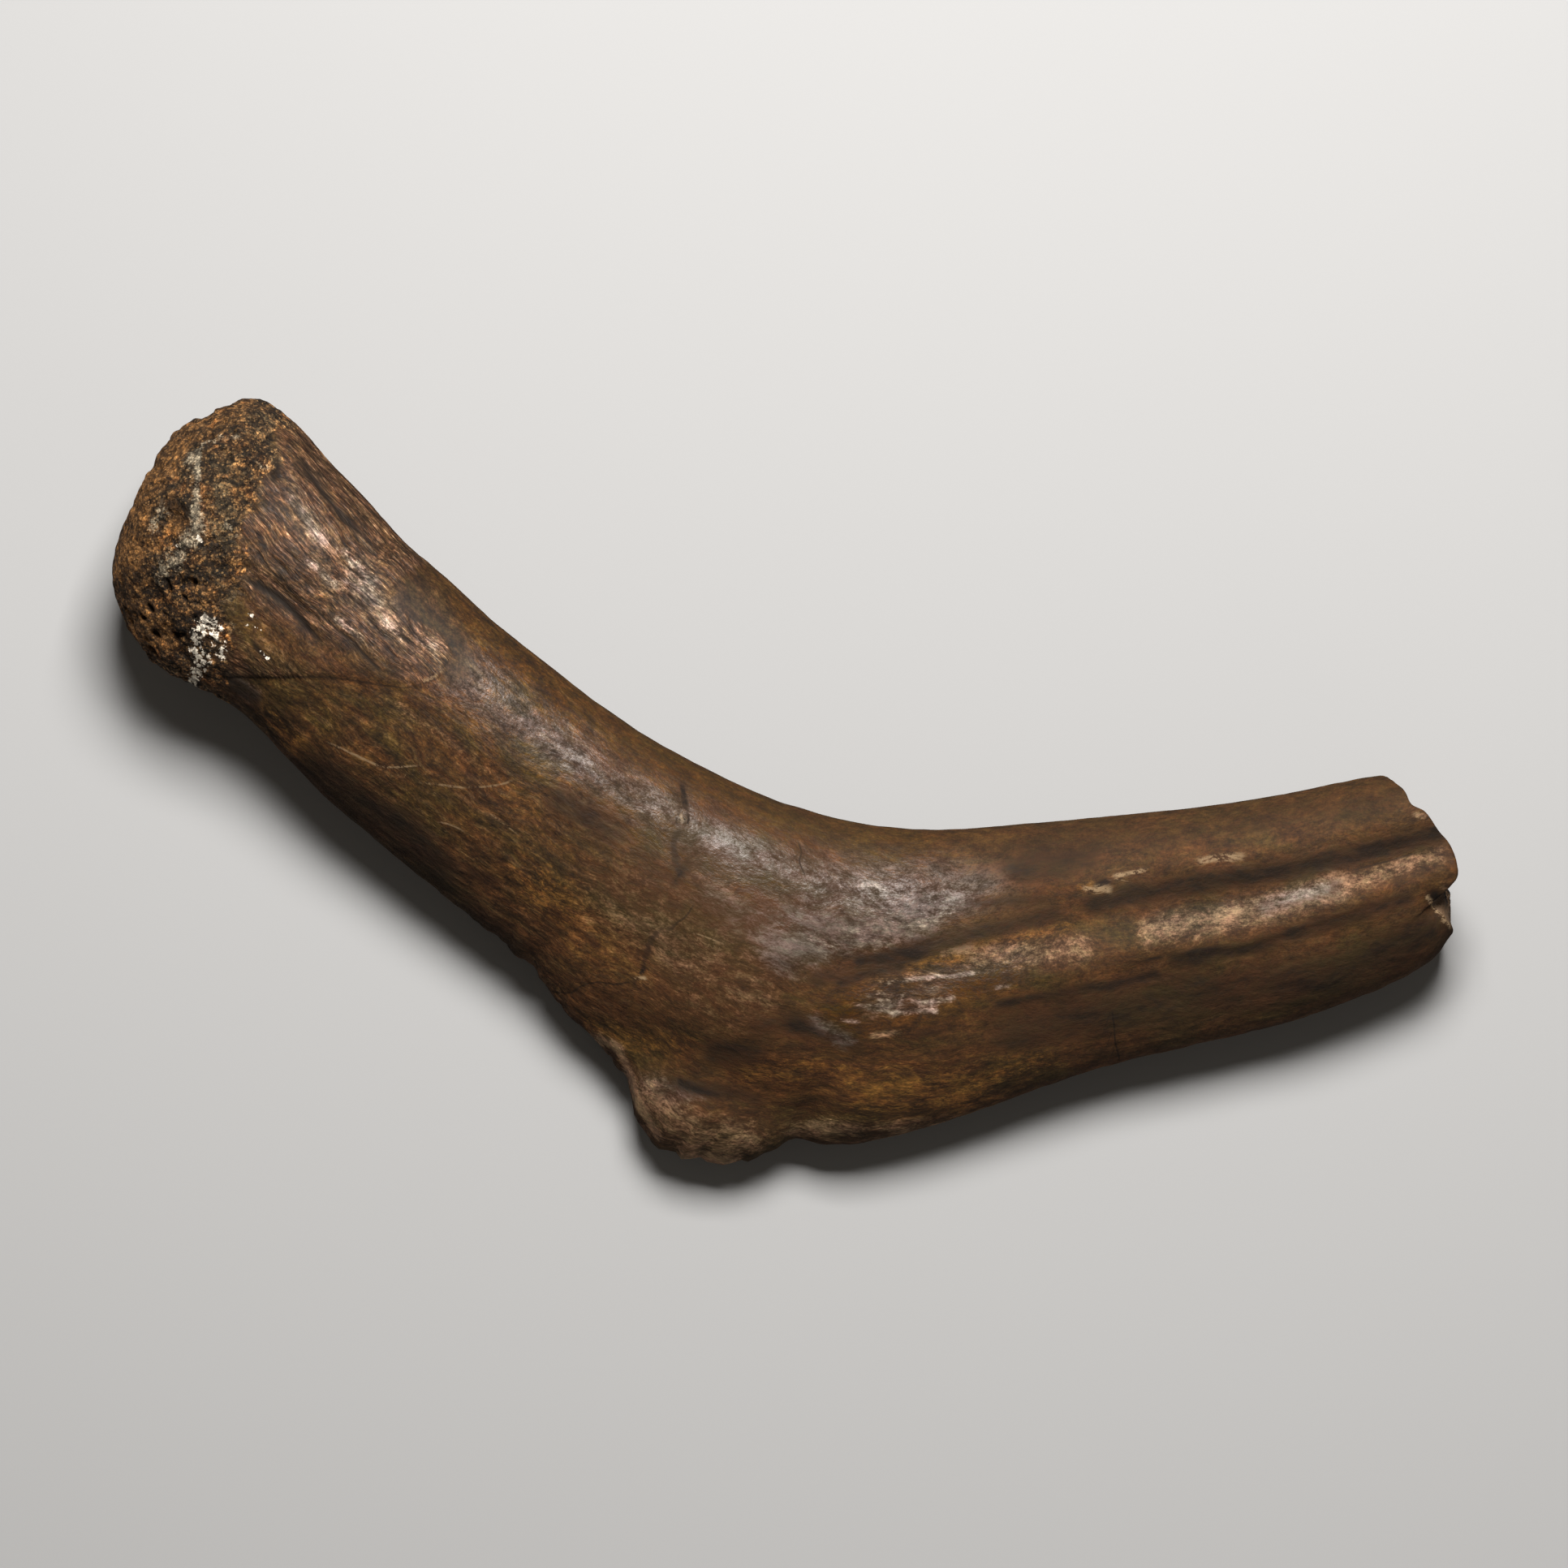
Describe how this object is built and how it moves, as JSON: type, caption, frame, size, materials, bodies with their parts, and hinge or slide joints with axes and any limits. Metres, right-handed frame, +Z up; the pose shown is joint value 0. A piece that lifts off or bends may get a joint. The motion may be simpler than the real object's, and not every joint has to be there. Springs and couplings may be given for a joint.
{
  "type": "fossil dinosaur rib",
  "caption": "Broken fossil rib lying on its side: domed head, long neck, thin tubercle flange at the bend and a grooved shaft that ends in a fracture.",
  "frame": {"origin": "centre of the bounding box, on the surface that the bone rests on", "axes": "+X along the bone's longest extent, from the head to the broken shaft; +Y towards the inside of the bend; +Z up, away from the surface it rests on"},
  "size_m": [0.1999, 0.1146, 0.0314],
  "materials": {
    "fossil_bone": "satin"
  },
  "bodies": {
    "root": {"rib": "fossil_bone"}
  },
  "joints": []
}
